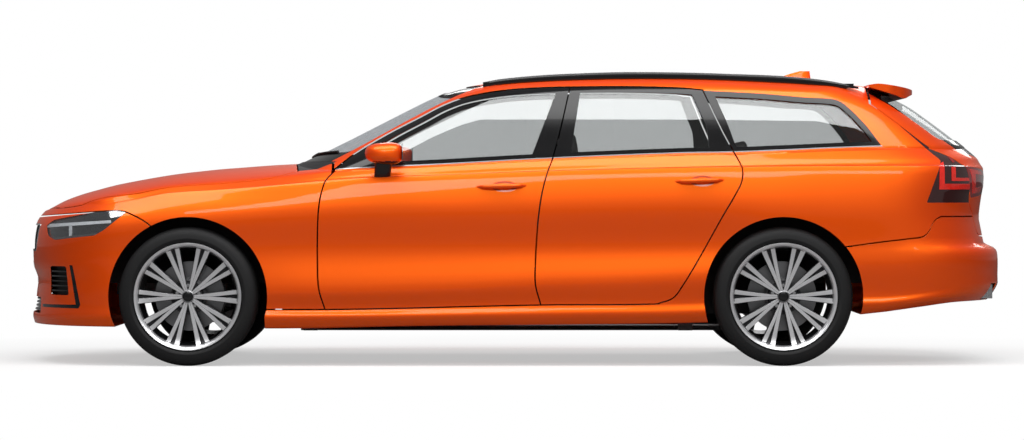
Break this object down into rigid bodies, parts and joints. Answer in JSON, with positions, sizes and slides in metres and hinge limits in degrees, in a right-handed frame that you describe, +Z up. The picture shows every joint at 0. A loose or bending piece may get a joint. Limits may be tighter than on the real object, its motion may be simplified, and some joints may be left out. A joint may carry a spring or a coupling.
{
  "type": "station wagon",
  "caption": "Full-size five-door station wagon with opening doors, hood and tailgate, steered front wheels and a hollow cabin and load space.",
  "frame": {"origin": "on the floor, under the middle of the car's length and width", "axes": "+X toward the tail, -Y toward the car's left side, +Z up"},
  "size_m": [4.9369, 2.045, 1.4839],
  "materials": {
    "paint": "gloss orange metallic",
    "black_trim": "gloss black",
    "dark_plastic": "matt grained",
    "glass": "clear",
    "head_lamp": "clear cover over a dark housing",
    "tail_lamp": "smoked red",
    "under_body": "dark underseal",
    "running_gear": "cast",
    "steel": "brushed",
    "alloy": "machined and lacquered",
    "tyre": "black rubber",
    "seat_leather": "fine grain"
  },
  "bodies": {
    "body": {"floor_pan": "under_body", "front_rails": "under_body", "body_side_left": "paint", "body_side_right": "paint", "roof_panel": "paint", "front_fenders": "paint", "front_bumper": "paint", "rear_bumper": "paint", "grille": "black_trim", "headlamps": "head_lamp", "tail_lamps": "tail_lamp", "cowl": "dark_plastic", "windscreen": "glass", "quarter_windows": "glass", "roof_rails": "black_trim", "dashboard": "dark_plastic", "front_seats": "seat_leather", "rear_bench": "seat_leather", "engine": "running_gear", "front_subframe": "running_gear", "rear_axle": "running_gear", "exhaust": "steel", "fuel_tank": "under_body"},
    "hood": {"hood": "paint"},
    "front_door_left": {"front_door_left": "paint", "front_glass_left": "glass", "mirror_left": "paint"},
    "front_door_right": {"front_door_right": "paint", "front_glass_right": "glass", "mirror_right": "paint"},
    "rear_door_left": {"rear_door_left": "paint", "rear_glass_left": "glass"},
    "rear_door_right": {"rear_door_right": "paint", "rear_glass_right": "glass"},
    "tailgate": {"tailgate": "paint", "tailgate_glass": "glass", "tailgate_lamps": "tail_lamp"},
    "steering_wheel": {"steering_wheel": "dark_plastic"},
    "knuckle_left": {"knuckle_left": "running_gear"},
    "knuckle_right": {"knuckle_right": "running_gear"},
    "wheel_front_left": {"tyre_front_left": "tyre", "rim_front_left": "alloy"},
    "wheel_front_right": {"tyre_front_right": "tyre", "rim_front_right": "alloy"},
    "wheel_rear_left": {"tyre_rear_left": "tyre", "rim_rear_left": "alloy"},
    "wheel_rear_right": {"tyre_rear_right": "tyre", "rim_rear_right": "alloy"}
  },
  "joints": [
    {"name": "steer_left", "type": "hinge", "parent": "body", "child": "knuckle_left", "pos_m": [-1.61, -0.7185, 0.343], "axis": [0, 0, 1], "range_deg": [-35, 35]},
    {"name": "steer_right", "type": "hinge", "parent": "body", "child": "knuckle_right", "pos_m": [-1.61, 0.7185, 0.343], "axis": [0, 0, 1], "range_deg": [-35, 35]},
    {"name": "steering_wheel_turn", "type": "hinge", "parent": "body", "child": "steering_wheel", "pos_m": [-0.56, -0.38, 0.905], "axis": [0.9136, 0, 0.4067], "range_deg": [-500, 500]},
    {"name": "spin_front_left", "type": "hinge", "parent": "knuckle_left", "child": "wheel_front_left", "pos_m": [-1.61, -0.8085, 0.343], "axis": [0, -1, 0], "continuous": true},
    {"name": "spin_front_right", "type": "hinge", "parent": "knuckle_right", "child": "wheel_front_right", "pos_m": [-1.61, 0.8085, 0.343], "axis": [0, -1, 0], "continuous": true},
    {"name": "spin_rear_left", "type": "hinge", "parent": "body", "child": "wheel_rear_left", "pos_m": [1.33, -0.8085, 0.343], "axis": [0, -1, 0], "continuous": true},
    {"name": "spin_rear_right", "type": "hinge", "parent": "body", "child": "wheel_rear_right", "pos_m": [1.33, 0.8085, 0.343], "axis": [0, -1, 0], "continuous": true},
    {"name": "front_door_left_open", "type": "hinge", "parent": "body", "child": "front_door_left", "pos_m": [-0.866, -0.872, 0.6], "axis": [0, 0, -1], "range_deg": [0, 68]},
    {"name": "front_door_right_open", "type": "hinge", "parent": "body", "child": "front_door_right", "pos_m": [-0.866, 0.872, 0.6], "axis": [0, 0, 1], "range_deg": [0, 68]},
    {"name": "rear_door_left_open", "type": "hinge", "parent": "body", "child": "rear_door_left", "pos_m": [0.207, -0.874, 0.6], "axis": [0, 0, -1], "range_deg": [0, 68]},
    {"name": "rear_door_right_open", "type": "hinge", "parent": "body", "child": "rear_door_right", "pos_m": [0.207, 0.874, 0.6], "axis": [0, 0, 1], "range_deg": [0, 68]},
    {"name": "hood_open", "type": "hinge", "parent": "body", "child": "hood", "pos_m": [-1.05, 0, 0.95], "axis": [0, 1, 0], "range_deg": [0, 45]},
    {"name": "tailgate_open", "type": "hinge", "parent": "body", "child": "tailgate", "pos_m": [1.798, 0, 1.386], "axis": [0, -1, 0], "range_deg": [0, 80]}
  ],
  "couplings": [
    {"joint": "steer_right", "follows": "steer_left", "ratio": 1},
    {"joint": "steering_wheel_turn", "follows": "steer_left", "ratio": 14}
  ]
}
